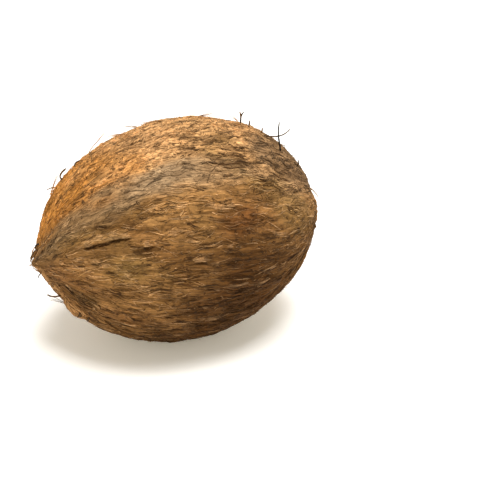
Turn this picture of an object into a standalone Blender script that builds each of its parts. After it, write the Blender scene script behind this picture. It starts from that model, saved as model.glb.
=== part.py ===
"""A whole brown coconut with its husk taken off, lying on its side as it would on a table.

The nut grew as one piece, so it is one solid: an egg-shaped body drawn out to a pointed tip, three
low ridges from end to end, a coat of coir strands raised from its surface, three eyes at the blunt
end, and loose strands that leave the coat. Lengths are metres and +Z is up. +X runs along the nut
towards its blunt end, and the origin is on the floor, under the nut's weight, in the middle of the
small flat spot that it rests on.
"""

import math

import bmesh
import bpy
import numpy as np
from mathutils import Vector

# The body, measured along its own axis from the tip (share 0) to the blunt end (share 1)
LENGTH = 0.1270
GIRTH_RADIUS = 0.05065
TIP_POWER = 0.502
BLUNT_POWER = 0.5125
POINT_REACH = 0.0060
POINT_SPREAD = 0.0080

# As it lies, with its tip leaning down. What falls under the floor is cut off
LEAN = math.radians(5.45)
MIDDLE = Vector((0.0005, 0.0, 0.0505))

# Ridges and strands set out from the tip straight and sweep downwards on their way to the blunt end
SWEEP = math.radians(33.0)
SWEEP_TURN = math.radians(-100.0)

# Three ridges run from the tip to the blunt end, a third of a turn apart where they set out
RIDGE_COUNT = 3
FIRST_RIDGE = math.radians(60.0)
RIDGE_ANGLES = [FIRST_RIDGE + 2.0 * math.pi * k / RIDGE_COUNT for k in range(RIDGE_COUNT)]
LOBE_SHARE = 0.010
CREST_HEIGHT = 0.0012
CREST_HALF_WIDTH = 0.0050

# Slow swellings that keep the nut from being a turned shape: (height, along, around, phase)
SWELLINGS = [
    (0.00078, 1.0, 2, 1.93),
    (0.00066, 2.0, 3, 0.41),
    (-0.00052, 4.0, 2, 5.88),
]

# The three eyes lie between the ridges' ends, round the blunt end. Each is a dish with a raised rim
EYE_ANGLES = [math.radians(degrees) for degrees in (123.0, 246.0, 344.0)]
EYE_DISTANCE = 0.0135
EYE_RADII = (0.0052, 0.0044, 0.0044)
EYE_DEPTH = 0.0022
EYE_FLAT_SHARE = 1.4
RIM_HEIGHT = 0.0007
RIM_PLACE = 1.25
RIM_SPREAD = 0.35

# Coir strands raised from the surface: (how many, half length, half width, height)
STRAND_SEED = 11
STRAND_SIZES = [
    (150, 0.0210, 0.0025, 0.00210),
    (150, 0.0120, 0.0018, 0.00160),
]
STRAND_SLANT = math.radians(7.0)
STRAND_SIZE_RANGE = (0.65, 1.25)
STRAND_HEIGHT_RANGE = (0.55, 1.0)
COAT_FADE = 0.012

# Loose strands, which leave the coat along the nut and bend away from it
LOOSE_SEED = 29
LOOSE_COUNT = 72
LOOSE_SHARES = (0.05, 0.92)
LOOSE_SCATTER = 0.15
LOOSE_LENGTHS = (0.011, 0.024)
LOOSE_LIFTS = (0.0008, 0.0048)
LOOSE_SWAY = 0.006
LOOSE_BEND_POWER = 1.6
LOOSE_RADIUS = 0.00050
LOOSE_TIP_RADIUS = 0.00042
LOOSE_SIDES = 3
LOOSE_RINGS = 6
ROOT_DEPTH = 0.0022
ROOT_SHARE = 1.0 / 3.0
FLOOR_CLEARANCE = 0.012

# A tuft of short strands at the tip, where the coat's strands run together
TUFT_COUNT = 9
TUFT_SHARES = (0.002, 0.008)
TUFT_SCATTER = 0.2
TUFT_LENGTHS = (0.005, 0.009)
TUFT_LIFTS = (0.0004, 0.0022)

# Fineness of the mesh, before and after its flat stretches are simplified
SEGMENTS_AROUND = 400
RINGS_ALONG = 120
KEPT_SHARE = 0.088

CUTTER_SIZE = 0.200

COIR_COLOUR = (0.352, 0.186, 0.076, 1.0)
COIR_ROUGHNESS = 0.90


def clear_scene():
    for obj in list(bpy.data.objects):
        bpy.data.objects.remove(obj)


def coir_material():
    material = bpy.data.materials.new("coir")
    material.use_nodes = True
    shader = material.node_tree.nodes["Principled BSDF"]
    shader.inputs["Base Color"].default_value = COIR_COLOUR
    shader.inputs["Roughness"].default_value = COIR_ROUGHNESS
    shader.inputs["Metallic"].default_value = 0.0
    return material


def turned_radius(share):
    """Distance from the axis to the plain egg shape, at a share of the length."""
    widest = TIP_POWER / (TIP_POWER + BLUNT_POWER)
    share = np.clip(share, 0.0, 1.0)
    tip_part = (share / widest) ** TIP_POWER
    blunt_part = ((1.0 - share) / (1.0 - widest)) ** BLUNT_POWER
    return GIRTH_RADIUS * tip_part * blunt_part


def turn_between(angle, other):
    """The smaller turn from one angle to another, between -pi and pi."""
    return (angle - other + math.pi) % (2.0 * math.pi) - math.pi


def setting_out(share, angle):
    """The angle at which the strand through a place sets out from the tip."""
    return angle + SWEEP * share * np.sin(angle - SWEEP_TURN)


def turn_along_strand(share, angle):
    """How fast the angle changes with the share, for someone who follows a strand."""
    return -SWEEP * np.sin(angle - SWEEP_TURN) / (1.0 + SWEEP * share * np.cos(angle - SWEEP_TURN))


def body_radius(share, angle):
    """Radius with the ridges and the slow swellings, without the coir strands."""
    plain = turned_radius(share)
    fullness = plain / GIRTH_RADIUS
    way = setting_out(share, angle)
    radius = plain * (1.0 + LOBE_SHARE * np.cos(RIDGE_COUNT * (way - FIRST_RIDGE)))
    for ridge in RIDGE_ANGLES:
        sideways = turn_between(way, ridge) * plain / CREST_HALF_WIDTH
        radius = radius + CREST_HEIGHT * fullness * np.exp(-(sideways**2))
    for height, along, around, phase in SWELLINGS:
        wave = np.cos(math.pi * along * share + phase) * np.cos(around * angle + phase)
        radius = radius + height * fullness * wave
    return radius


def axis_place(share, plain):
    """Place along the axis. The tip is drawn out to a point."""
    point = POINT_REACH * np.exp(-plain / POINT_SPREAD) * (share < 0.5)
    return (share - 0.5) * LENGTH - point


def eye_relief(share, angle, plain):
    """The eyes' dishes and the rims round them, measured along the axis."""
    across = plain * np.cos(angle)
    up = plain * np.sin(angle)
    relief = np.zeros_like(plain)
    for middle, radius in zip(EYE_ANGLES, EYE_RADII):
        gap = np.hypot(
            across - EYE_DISTANCE * math.cos(middle),
            up - EYE_DISTANCE * math.sin(middle),
        )
        dish = np.clip(EYE_FLAT_SHARE * (1.0 - (gap / radius) ** 2), 0.0, 1.0)
        rim = np.exp(-(((gap / radius - RIM_PLACE) / RIM_SPREAD) ** 2))
        relief = relief + RIM_HEIGHT * rim - EYE_DEPTH * dish
    return relief * (share > 0.5)


def strand_relief(share, angle, plain):
    """Height of the coir strands: low spindles that run along the nut and overlap."""
    random = np.random.default_rng(STRAND_SEED)
    along = share * LENGTH
    way = setting_out(share, angle)
    height = np.zeros_like(plain)
    for count, half_length, half_width, most in STRAND_SIZES:
        for _ in range(count):
            middle = random.uniform(0.0, 1.0) * LENGTH
            turn = random.uniform(0.0, 2.0 * math.pi)
            slant = math.tan(random.normal(0.0, STRAND_SLANT))
            size = random.uniform(*STRAND_SIZE_RANGE)
            tall = most * random.uniform(*STRAND_HEIGHT_RANGE)
            forward = along - middle
            sideways = turn_between(way, turn) * plain - slant * forward
            slimness = np.clip(1.0 - (forward / (half_length * size)) ** 2, 0.0, 1.0)
            crossing = np.clip(slimness - (sideways / (half_width * size)) ** 2, 0.0, 1.0)
            height = np.maximum(height, tall * np.sqrt(crossing))
    return height * np.clip(plain / COAT_FADE, 0.0, 1.0)


def surface_points(share, angle, with_coat=True):
    """Points of the nut's surface as it lies, with its middle at MIDDLE."""
    plain = turned_radius(share)
    radius = body_radius(share, angle)
    if with_coat:
        radius = radius + strand_relief(share, angle, plain)
    x = axis_place(share, plain) + eye_relief(share, angle, plain)
    y = -radius * np.cos(angle)
    z = radius * np.sin(angle)
    lying_x = x * math.cos(LEAN) - z * math.sin(LEAN)
    lying_z = x * math.sin(LEAN) + z * math.cos(LEAN)
    return np.stack([lying_x, y, lying_z], axis=-1) + np.array(MIDDLE)


def surface_frame(share, angle):
    """A point of the uncoated surface, its outward normal and the way a strand runs there."""
    step = 1e-3
    shares = np.array([share, share + step, share])
    angles = np.array([angle, angle + turn_along_strand(share, angle) * step, angle + step])
    here, further, turned = (Vector(p) for p in surface_points(shares, angles, False))
    along = (further - here).normalized()
    outward = along.cross(turned - here).normalized()
    if outward.dot(here - MIDDLE) < 0.0:
        outward = -outward
    return here, outward, along


def nut_body():
    """The body, from a sphere whose every point is moved to its place on the nut."""
    mesh = bpy.data.meshes.new("coconut")
    shape = bmesh.new()
    bmesh.ops.create_uvsphere(
        shape, u_segments=SEGMENTS_AROUND, v_segments=RINGS_ALONG, radius=1.0
    )
    directions = np.array([vertex.co for vertex in shape.verts])
    share = np.clip((1.0 + directions[:, 2]) / 2.0, 0.0, 1.0)
    angle = np.arctan2(directions[:, 1], directions[:, 0])
    for vertex, place in zip(shape.verts, surface_points(share, angle)):
        vertex.co = place
    bmesh.ops.recalc_face_normals(shape, faces=shape.faces)
    shape.to_mesh(mesh)
    shape.free()
    nut = bpy.data.objects.new("coconut", mesh)
    bpy.context.scene.collection.objects.link(nut)
    simplify = nut.modifiers.new("simplify", "DECIMATE")
    simplify.ratio = KEPT_SHARE
    return nut


def tube(name, path, radii, sides):
    """A closed tapered tube round a path, with flat ends."""
    shape = bmesh.new()
    rings = []
    across = (path[1] - path[0]).orthogonal()
    for index, (place, radius) in enumerate(zip(path, radii)):
        before = path[max(index - 1, 0)]
        after = path[min(index + 1, len(path) - 1)]
        heading = (after - before).normalized()
        across = (across - heading * across.dot(heading)).normalized()
        upward = heading.cross(across)
        ring = []
        for corner in range(sides):
            turn = 2.0 * math.pi * corner / sides
            offset = across * math.cos(turn) + upward * math.sin(turn)
            ring.append(shape.verts.new(place + offset * radius))
        rings.append(ring)
    for ring, following in zip(rings, rings[1:]):
        for corner in range(sides):
            beside = (corner + 1) % sides
            shape.faces.new((ring[corner], ring[beside], following[beside], following[corner]))
    shape.faces.new(rings[0])
    shape.faces.new(rings[-1])
    bmesh.ops.recalc_face_normals(shape, faces=shape.faces)
    bmesh.ops.triangulate(shape, faces=shape.faces)
    mesh = bpy.data.meshes.new(name)
    shape.to_mesh(mesh)
    shape.free()
    return bpy.data.objects.new(name, mesh)


def loose_path(share, angle, length, lift, sway):
    """A loose strand's path. It follows the nut's curve, and its free end lifts and sways."""
    here, outward, along = surface_frame(share, angle)
    aside = outward.cross(along)
    path = []
    for ring in range(LOOSE_RINGS):
        run = ring / (LOOSE_RINGS - 1)
        fall = (length * run) ** 2 / (2.0 * GIRTH_RADIUS)
        rise = ROOT_DEPTH * min(run / ROOT_SHARE - 1.0, 0.0) + lift * run**LOOSE_BEND_POWER
        sideways = aside * sway * run**2
        path.append(here + along * length * run + sideways + outward * (rise - fall))
    return path


def loose_strands():
    """The loose strands, evenly spread by the golden angle and clear of the floor."""
    random = np.random.default_rng(LOOSE_SEED)
    golden = math.pi * (3.0 - math.sqrt(5.0))
    radii = np.linspace(LOOSE_RADIUS, LOOSE_TIP_RADIUS, LOOSE_RINGS)
    first, last = LOOSE_SHARES
    strands = []
    for number in range(LOOSE_COUNT):
        share = first + (last - first) * (number + 0.5) / LOOSE_COUNT
        angle = number * golden + random.uniform(-LOOSE_SCATTER, LOOSE_SCATTER)
        length = random.uniform(*LOOSE_LENGTHS) * random.choice([-1.0, 1.0])
        lift = random.uniform(*LOOSE_LIFTS)
        sway = random.uniform(-LOOSE_SWAY, LOOSE_SWAY)
        path = loose_path(share, angle, length, lift, sway)
        if min(place.z for place in path) > FLOOR_CLEARANCE:
            strands.append(tube(f"loose_strand_{number}", path, radii, LOOSE_SIDES))
    return strands


def tip_tuft():
    """The short strands that stand out round the tip, all leaning the way it points."""
    random = np.random.default_rng(LOOSE_SEED + 1)
    radii = np.linspace(LOOSE_RADIUS, LOOSE_TIP_RADIUS, LOOSE_RINGS)
    strands = []
    for number in range(TUFT_COUNT):
        share = random.uniform(*TUFT_SHARES)
        angle = 2.0 * math.pi * number / TUFT_COUNT
        angle = angle + random.uniform(-TUFT_SCATTER, TUFT_SCATTER)
        length = -random.uniform(*TUFT_LENGTHS)
        lift = random.uniform(*TUFT_LIFTS)
        path = loose_path(share, angle, length, lift, 0.0)
        strands.append(tube(f"tuft_strand_{number}", path, radii, LOOSE_SIDES))
    return strands


def join_to(nut, pieces):
    """Joins the pieces to the nut as one solid, and removes them."""
    group = bpy.data.collections.new("joined_to_nut")
    bpy.context.scene.collection.children.link(group)
    for piece in pieces:
        group.objects.link(piece)
    union = nut.modifiers.new("join", "BOOLEAN")
    union.operation = "UNION"
    union.operand_type = "COLLECTION"
    union.collection = group
    union.solver = "EXACT"
    graph = bpy.context.evaluated_depsgraph_get()
    joined = bpy.data.meshes.new_from_object(nut.evaluated_get(graph))
    nut.modifiers.clear()
    nut.data = joined
    for piece in pieces:
        bpy.data.objects.remove(piece)
    bpy.data.collections.remove(group)


def cut_rest_spot(nut):
    """Takes off what is below the floor, which leaves the flat spot that the nut rests on."""
    mesh = bpy.data.meshes.new("floor_cutter")
    shape = bmesh.new()
    bmesh.ops.create_cube(shape, size=CUTTER_SIZE)
    shape.to_mesh(mesh)
    shape.free()
    cutter = bpy.data.objects.new("floor_cutter", mesh)
    cutter.location.z = -CUTTER_SIZE / 2.0
    cutter.hide_render = True
    cutter.display_type = "WIRE"
    bpy.context.scene.collection.objects.link(cutter)
    cut = nut.modifiers.new("rest_spot", "BOOLEAN")
    cut.operation = "DIFFERENCE"
    cut.object = cutter
    cut.solver = "EXACT"


def build():
    clear_scene()
    nut = nut_body()
    join_to(nut, loose_strands() + tip_tuft())
    nut.data.materials.clear()
    nut.data.materials.append(coir_material())
    nut.data.shade_smooth()
    cut_rest_spot(nut)


build()
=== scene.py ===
"""The looks of a whole brown coconut, lying on a white surface under soft light.

One closed coat carries the nut's form and its raised strands. Thousands of thin fibres lie on it in
locks, with short chopped ones where the husk was torn off, torn flakes, loose wisps, a tuft at the tip
and fine stray hairs. Everything is placed by share, from the tip (0) to the blunt end (1), and by angle
round the nut, where 0 faces the front and a quarter turn is the top. Lengths are metres and +Z is up.
"""

import math

import bpy
import numpy as np
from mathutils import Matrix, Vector


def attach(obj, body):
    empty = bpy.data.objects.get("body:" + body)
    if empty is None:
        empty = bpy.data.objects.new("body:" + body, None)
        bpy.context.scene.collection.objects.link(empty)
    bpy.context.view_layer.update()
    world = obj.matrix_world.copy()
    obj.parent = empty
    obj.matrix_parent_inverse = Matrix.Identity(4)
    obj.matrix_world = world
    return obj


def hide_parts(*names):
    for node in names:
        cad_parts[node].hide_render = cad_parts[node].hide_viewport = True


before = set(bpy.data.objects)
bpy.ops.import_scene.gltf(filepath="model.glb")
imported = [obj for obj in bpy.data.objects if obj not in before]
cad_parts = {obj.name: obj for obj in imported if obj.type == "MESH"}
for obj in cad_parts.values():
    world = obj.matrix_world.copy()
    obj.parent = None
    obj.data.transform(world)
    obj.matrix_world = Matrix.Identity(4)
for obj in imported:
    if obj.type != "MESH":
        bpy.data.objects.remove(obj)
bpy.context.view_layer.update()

# The nut's form, with the same driving sizes as its solid
LENGTH = 0.1270
GIRTH_RADIUS = 0.05065
TIP_POWER = 0.502
BLUNT_POWER = 0.5125
POINT_REACH = 0.0060
POINT_SPREAD = 0.0080
LEAN = math.radians(5.45)
MIDDLE = np.array((0.0005, 0.0, 0.0505))
SWEEP = math.radians(33.0)
SWEEP_TURN = math.radians(-100.0)
RIDGE_COUNT = 3
FIRST_RIDGE = math.radians(60.0)
RIDGE_ANGLES = [FIRST_RIDGE + 2.0 * math.pi * k / RIDGE_COUNT for k in range(RIDGE_COUNT)]
LOBE_SHARE = 0.010
CREST_HEIGHT = 0.0012
CREST_HALF_WIDTH = 0.0050
SWELLINGS = [
    (0.00078, 1.0, 2, 1.93),
    (0.00066, 2.0, 3, 0.41),
    (-0.00052, 4.0, 2, 5.88),
]

# The three eyes at the blunt end
EYE_ANGLES = [math.radians(degrees) for degrees in (123.0, 246.0, 344.0)]
EYE_DISTANCE = 0.0135
EYE_RADII = (0.0052, 0.0044, 0.0044)
EYE_DEPTH = 0.0022
EYE_FLAT_SHARE = 1.4
RIM_HEIGHT = 0.0007
RIM_PLACE = 1.25
RIM_SPREAD = 0.35

# The solid's raised strands: (how many, half length, half width, height)
STRAND_SEED = 11
STRAND_SIZES = [
    (150, 0.0210, 0.0025, 0.00210),
    (150, 0.0120, 0.0018, 0.00160),
]
STRAND_SLANT = math.radians(7.0)
STRAND_SIZE_RANGE = (0.65, 1.25)
STRAND_HEIGHT_RANGE = (0.55, 1.0)
COARSE_SHARE = 0.35

# How deep the coat is set into the body, so that its fibres reach the nut's outline
COAT_DEPTH = 0.0010

# Finer strands that the solid has no room for, in the same form, and the pits between chopped ones
FINE_SIZES = [
    (900, 0.0080, 0.0011, 0.00045),
    (3200, 0.0042, 0.0006, 0.00035),
]
FINE_SLANT = math.radians(9.0)
STUB_SIZES = [(7000, 0.0014, 0.0006, 0.00050)]
STUB_SLANT = math.radians(22.0)
PIT_SIZES = [
    (6000, 0.0011, 0.0005, 0.00080),
    (60, 0.0016, 0.0007, 0.00120),
]
PIT_SLANT = math.radians(30.0)

# Thin dark threads along the ridge, near the blunt end
DARK_THREADS = {"seed": 51, "locks": 70, "each": 1, "lengths": (0.004, 0.012), "slant": 8.0, "spread": 0.0}
DARK_THREAD_SHARES = (0.50, 0.93)
DARK_THREAD_WAY = (69.0, 6.0)
DARK_THREAD_RADII = (0.00022, 0.00042)
DARK_THREAD_LIFTS = (0.0003, 0.0008)

# Painted shade of the cracks beside the front ridge and of small holes above it, as dark tubes: the radius in
# millimetres, then the places it runs through, as share and setting out angle in degrees
CRACKS = [
    (0.24, [(0.542, 56.0), (0.564, 59.6), (0.602, 63.0)]),
    (0.36, [(0.602, 63.0), (0.634, 63.2), (0.707, 64.7), (0.739, 64.7)]),
    (0.55, [(0.764, 65.3), (0.796, 65.5), (0.816, 62.7), (0.846, 62.1)]),
    (0.30, [(0.627, 61.2), (0.692, 62.5), (0.757, 63.5)]),
    (0.50, [(0.601, 58.2), (0.644, 59.0)]),
    (0.50, [(0.784, 62.7), (0.826, 59.5), (0.859, 59.5)]),
    (0.85, [(0.184, 65.3), (0.186, 68.6)]),
    (0.60, [(0.148, 61.3), (0.149, 65.7)]),
    (0.60, [(0.196, 70.0), (0.206, 70.0)]),
    (0.55, [(0.266, 68.1), (0.276, 68.2)]),
    (0.50, [(0.268, 73.6), (0.278, 72.3)]),
    (0.55, [(0.318, 58.3), (0.336, 58.9)]),
    (0.60, [(0.271, 57.6), (0.294, 57.6)]),
    (0.50, [(0.228, 60.1), (0.239, 59.6)]),
    (0.45, [(0.368, 65.7), (0.376, 64.2)]),
    (0.40, [(0.153, 67.2), (0.161, 72.0)]),
]
CRACK_STEPS = 14
CRACK_LIFT = 0.0003

# Torn flakes that stand off the coat, each with a groove along its lower side. The first ones are listed:
# (share, setting out angle in degrees, tilt, half length, half width, height)
PLACED_FLAKES = [
    (0.060, 304.0, 0.00, 0.0065, 0.0022, 0.0022),
    (0.128, 36.5, 0.10, 0.0042, 0.0013, 0.0018),
    (0.165, 37.5, 0.03, 0.0050, 0.0015, 0.0022),
    (0.205, 38.0, 0.08, 0.0048, 0.0013, 0.0018),
    (0.240, 37.5, 0.00, 0.0030, 0.0010, 0.0014),
    (0.300, 33.0, 0.00, 0.0035, 0.0012, 0.0011),
    (0.460, 25.0, 0.05, 0.0050, 0.0010, 0.0010),
    (0.215, 68.0, 0.05, 0.0045, 0.0011, 0.0010),
    (0.330, 76.0, 0.00, 0.0040, 0.0010, 0.0010),
]
FLAKE_SEED = 17
FLAKE_SIZES = [(110, 0.0036, 0.0008, 0.00080)]
FLAKE_SLANT = math.radians(10.0)
GROOVE_DEPTH_SHARE = 0.60

# How far strands wave from side to side, and over what length
WAVE_HEIGHT = 0.00022
WAVE_LENGTH = 0.0130
SWEEP_ROUNDS = 12

# The solid's loose strands and the tuft at its tip, here as wisps of thin hairs
LOOSE_SEED = 29
LOOSE_COUNT = 72
LOOSE_SHARES = (0.05, 0.92)
LOOSE_SCATTER = 0.15
LOOSE_LENGTHS = (0.011, 0.024)
LOOSE_LIFTS = (0.0008, 0.0048)
LOOSE_SWAY = 0.006
LOOSE_BEND_POWER = 1.6
ROOT_DEPTH = 0.0022
ROOT_SHARE = 1.0 / 3.0
FLOOR_CLEARANCE = 0.012
TUFT_COUNT = 9
TUFT_SHARES = (0.002, 0.008)
TUFT_SCATTER = 0.2
TUFT_LENGTHS = (0.005, 0.009)
TUFT_LIFTS = (0.0004, 0.0022)
WISP_HAIRS = 4
WISP_STEPS = 8
WISP_RADII = (0.00010, 0.00018)

# Layers of combed fibres, a share of whose locks is dark
DARK_LOCKS = 0.15
LOCKS = {"seed": 31, "locks": 1050, "each": 5, "lengths": (0.005, 0.013), "slant": 7.0, "spread": 0.00050}
LOCK_RADII = (0.00013, 0.00029)
LOCK_LIFTS = (0.0, 0.0004)
SINGLES = {"seed": 32, "locks": 5200, "each": 1, "lengths": (0.004, 0.014), "slant": 10.0, "spread": 0.0}
SINGLE_RADII = (0.00009, 0.00020)
SINGLE_LIFTS = (0.0, 0.0005)
CHOPPED = {"seed": 33, "locks": 2700, "each": 3, "lengths": (0.0016, 0.0042), "slant": 18.0, "spread": 0.0005}
CHOPPED_RADII = (0.00016, 0.00035)
CHOPPED_LIFTS = (0.0001, 0.0007)
STUBS = {"seed": 34, "locks": 4000, "each": 2, "lengths": (0.0009, 0.0024), "slant": 32.0, "spread": 0.0004}
STUB_RADII = (0.00012, 0.00026)
STUB_LIFTS = (0.0002, 0.0008)
FLAKE_FIBRES = 12
PLACED_FLAKE_FIBRES = 26

# Fine hairs that stand off the whole nut
FUZZ_SEED = 41
FUZZ_COUNT = 8000
FUZZ_LENGTHS = (0.0009, 0.0024)
FUZZ_RADII = (0.00006, 0.00011)

# Single stray hairs: share, angle in degrees, radius, then the way from there as points in millimetres
STRAY_HAIRS = [
    (0.880, 72.0, 0.00050, [(-0.6, 0.2, 4.5), (-2.2, 0.6, 7.0), (-0.9, 0.3, 14.5)]),
    (0.848, 90.0, 0.00040, [(3.5, -1.2, -1.6), (8.0, -2.4, -2.4), (11.6, -3.5, 2.8)]),
    (0.774, 95.0, 0.00052, [(0.0, 0.0, 2.0), (0.4, -0.1, 4.2), (-0.6, 0.2, 6.2)]),
    (0.774, 95.0, 0.00046, [(0.0, 0.0, 2.0), (-0.3, 0.1, 4.6), (1.5, -0.4, 5.9)]),
    (0.805, 96.0, 0.00050, [(0.2, 0.0, 1.0), (0.1, 0.0, 1.8), (0.4, -0.1, 3.0)]),
    (0.845, 93.0, 0.00044, [(0.1, 0.0, 0.6), (0.2, 0.0, 1.2), (0.2, 0.0, 2.2)]),
    (0.930, 62.0, 0.00038, [(0.3, 0.0, 1.0), (0.6, -0.2, 1.8), (0.2, -0.3, 3.2)]),
    (0.125, 108.0, 0.00046, [(-1.6, 0.4, 1.0), (-0.4, 0.1, 3.6), (2.4, -0.7, 5.6)]),
    (0.125, 108.0, 0.00040, [(-1.4, 0.4, 0.6), (-0.6, 0.2, 3.0), (2.2, -0.6, 5.0)]),
    (0.175, 106.0, 0.00040, [(-0.2, 0.0, 1.2), (1.0, -0.3, 2.4), (3.0, -0.9, 3.0)]),
    (0.100, 108.0, 0.00036, [(-1.2, 0.3, 0.6), (-2.4, 0.8, -0.2), (-4.2, 1.1, -1.0)]),
    (0.008, 84.0, 0.00046, [(-0.8, 0.3, 0.2), (-1.8, 0.5, -0.8), (-1.5, 0.4, -2.3)]),
    (0.004, 87.0, 0.00072, [(-0.9, 0.3, -0.8), (-1.9, 0.6, -2.4), (-3.0, 0.9, -4.8)]),
    (0.002, 80.0, 0.00056, [(-1.0, 0.4, -0.6), (-1.9, 0.7, -1.8), (-2.3, 0.8, -3.6)]),
    (0.003, 320.0, 0.00032, [(-1.2, 0.3, -0.6), (-1.8, 0.5, -1.4), (-0.8, 0.2, -2.4)]),
    (0.028, 308.0, 0.00042, [(-1.6, 0.5, -0.6), (-3.2, 0.9, -0.6), (-5.6, 1.6, 1.0)]),
    (0.030, 310.0, 0.00030, [(-1.6, 0.5, -0.2), (-3.6, 1.0, 0.8), (-5.0, 1.4, 0.2)]),
    (0.074, 309.0, 0.00075, [(-0.2, 0.0, -0.6), (-0.1, 0.0, -1.1), (0.7, -0.2, -1.5)]),
    (0.078, 309.0, 0.00055, [(-0.7, 0.2, -0.5), (-1.0, 0.3, -1.0), (-1.9, 0.5, -1.4)]),
    (0.090, 311.0, 0.00070, [(-0.1, 0.0, -0.6), (0.2, -0.1, -1.0), (1.2, -0.3, -1.2)]),
    (0.098, 312.0, 0.00045, [(-0.3, 0.1, -0.6), (-0.8, 0.2, -1.0), (-0.7, 0.2, -1.7)]),
]
STRAY_STEPS = 14

# The coat's mesh
RINGS = 160
SEGMENTS = 620

# The camera, as a distance and a direction from the nut's middle, and where the nut stands in the picture
CAMERA_AZIMUTH = math.radians(-16.2)
CAMERA_ELEVATION = math.radians(27.0)
CAMERA_DISTANCE = 0.600
FOCAL_PIXELS = 1318.0
PICTURE_SIZE = 500.0
NUT_PIXEL = (180.8, 224.9)
SENSOR_WIDTH = 36.0

# Colours, as linear light
MEDIUM = (0.318, 0.160, 0.050)
BRIGHT = (0.565, 0.308, 0.124)
ORANGE = (0.530, 0.226, 0.045)
GREY = (0.375, 0.245, 0.130)
OLIVE = (0.205, 0.126, 0.036)
# Dark coir, and the painted shade on the underside and the lower front
DARK_COIR_AND_SHADE = (0.056, 0.018, 0.001)
# The deep colour is painted shade in the coat's hollows and cracks, and also the colour of the darkest fibres
DEEP_SHADE_AND_DARK_FIBRE = (0.052, 0.019, 0.002)
RED = (0.175, 0.060, 0.013)
PALE = (0.500, 0.330, 0.180)
HAIR = (0.022, 0.017, 0.012)
WHITE_SURFACE = (0.92, 0.92, 0.92, 1.0)

# Light of the white room, near the floor and overhead, of the lamp, and of the white surface itself
LOW_LIGHT = (1.65, 1.50, 1.20)
HIGH_LIGHT = (0.35, 0.37, 0.40)
LAMP_PLACE = (0.10, -0.15, 1.0)
LAMP_SIZE = 0.60
LAMP_POWER = 16.0
SURFACE_GLOW = (0.210, 0.188, 0.142, 1.0)


def turned_radius(share):
    """Distance from the axis to the plain egg shape, at a share of the length."""
    widest = TIP_POWER / (TIP_POWER + BLUNT_POWER)
    share = np.clip(share, 0.0, 1.0)
    tip_part = (share / widest) ** TIP_POWER
    blunt_part = ((1.0 - share) / (1.0 - widest)) ** BLUNT_POWER
    return GIRTH_RADIUS * tip_part * blunt_part


def turn_between(angle, other):
    """The smaller turn from one angle to another, between -pi and pi."""
    return (angle - other + math.pi) % (2.0 * math.pi) - math.pi


def setting_out(share, angle):
    """The angle at which the strand through a place sets out from the tip."""
    return angle + SWEEP * share * np.sin(angle - SWEEP_TURN)


def turn_along_strand(share, angle):
    """How fast the angle changes with the share, for someone who follows a strand."""
    return -SWEEP * np.sin(angle - SWEEP_TURN) / (1.0 + SWEEP * share * np.cos(angle - SWEEP_TURN))


def angle_on_strand(share, way):
    """The angle that a strand has reached at a share, from the angle at which it set out."""
    angle = way
    for _ in range(SWEEP_ROUNDS):
        angle = way - SWEEP * share * np.sin(angle - SWEEP_TURN)
    return angle


def body_radius(share, angle):
    """Radius with the ridges and the slow swellings, without the coir strands."""
    plain = turned_radius(share)
    fullness = plain / GIRTH_RADIUS
    way = setting_out(share, angle)
    radius = plain * (1.0 + LOBE_SHARE * np.cos(RIDGE_COUNT * (way - FIRST_RIDGE)))
    for ridge in RIDGE_ANGLES:
        sideways = turn_between(way, ridge) * plain / CREST_HALF_WIDTH
        radius = radius + CREST_HEIGHT * fullness * np.exp(-(sideways**2))
    for height, along, around, phase in SWELLINGS:
        wave = np.cos(math.pi * along * share + phase) * np.cos(around * angle + phase)
        radius = radius + height * fullness * wave
    return radius


def eye_relief(share, angle, plain):
    """The eyes' dishes and the rims round them, measured along the axis."""
    across = plain * np.cos(angle)
    up = plain * np.sin(angle)
    relief = np.zeros_like(plain)
    for middle, radius in zip(EYE_ANGLES, EYE_RADII):
        gap = np.hypot(
            across - EYE_DISTANCE * math.cos(middle),
            up - EYE_DISTANCE * math.sin(middle),
        )
        dish = np.clip(EYE_FLAT_SHARE * (1.0 - (gap / radius) ** 2), 0.0, 1.0)
        rim = np.exp(-(((gap / radius - RIM_PLACE) / RIM_SPREAD) ** 2))
        relief = relief + RIM_HEIGHT * rim - EYE_DEPTH * dish
    return relief * (share > 0.5)


def body_points(share, angle):
    """Points of the nut's body as it lies, under its coat."""
    plain = turned_radius(share)
    radius = body_radius(share, angle)
    point = POINT_REACH * np.exp(-plain / POINT_SPREAD) * (share < 0.5)
    x = (share - 0.5) * LENGTH - point + eye_relief(share, angle, plain)
    y = -radius * np.cos(angle)
    z = radius * np.sin(angle)
    lying_x = x * math.cos(LEAN) - z * math.sin(LEAN)
    lying_z = x * math.sin(LEAN) + z * math.cos(LEAN)
    return np.stack([lying_x, y, lying_z], axis=-1) + MIDDLE


def unit(vectors):
    return vectors / np.maximum(np.linalg.norm(vectors, axis=-1, keepdims=True), 1e-12)


def surface_frame(share, angle):
    """Points of the body, with the outward direction and the direction along the nut at each."""
    step = 2e-3
    inside = np.clip(share, step, 1.0 - step)
    turn = turn_along_strand(share, angle) * step
    here = body_points(share, angle)
    along = unit(body_points(inside + step, angle + turn) - body_points(inside - step, angle - turn))
    around = unit(body_points(inside, angle + step) - body_points(inside, angle - step))
    return here, unit(np.cross(along, around)), along


def share_at_ring(ring):
    """The share at a ring of the coat's mesh, closer together towards both ends."""
    return (1.0 - np.cos(math.pi * ring / RINGS)) / 2.0


def ring_at_share(share):
    return np.arccos(1.0 - 2.0 * np.clip(share, 0.0, 1.0)) / math.pi * RINGS


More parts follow.
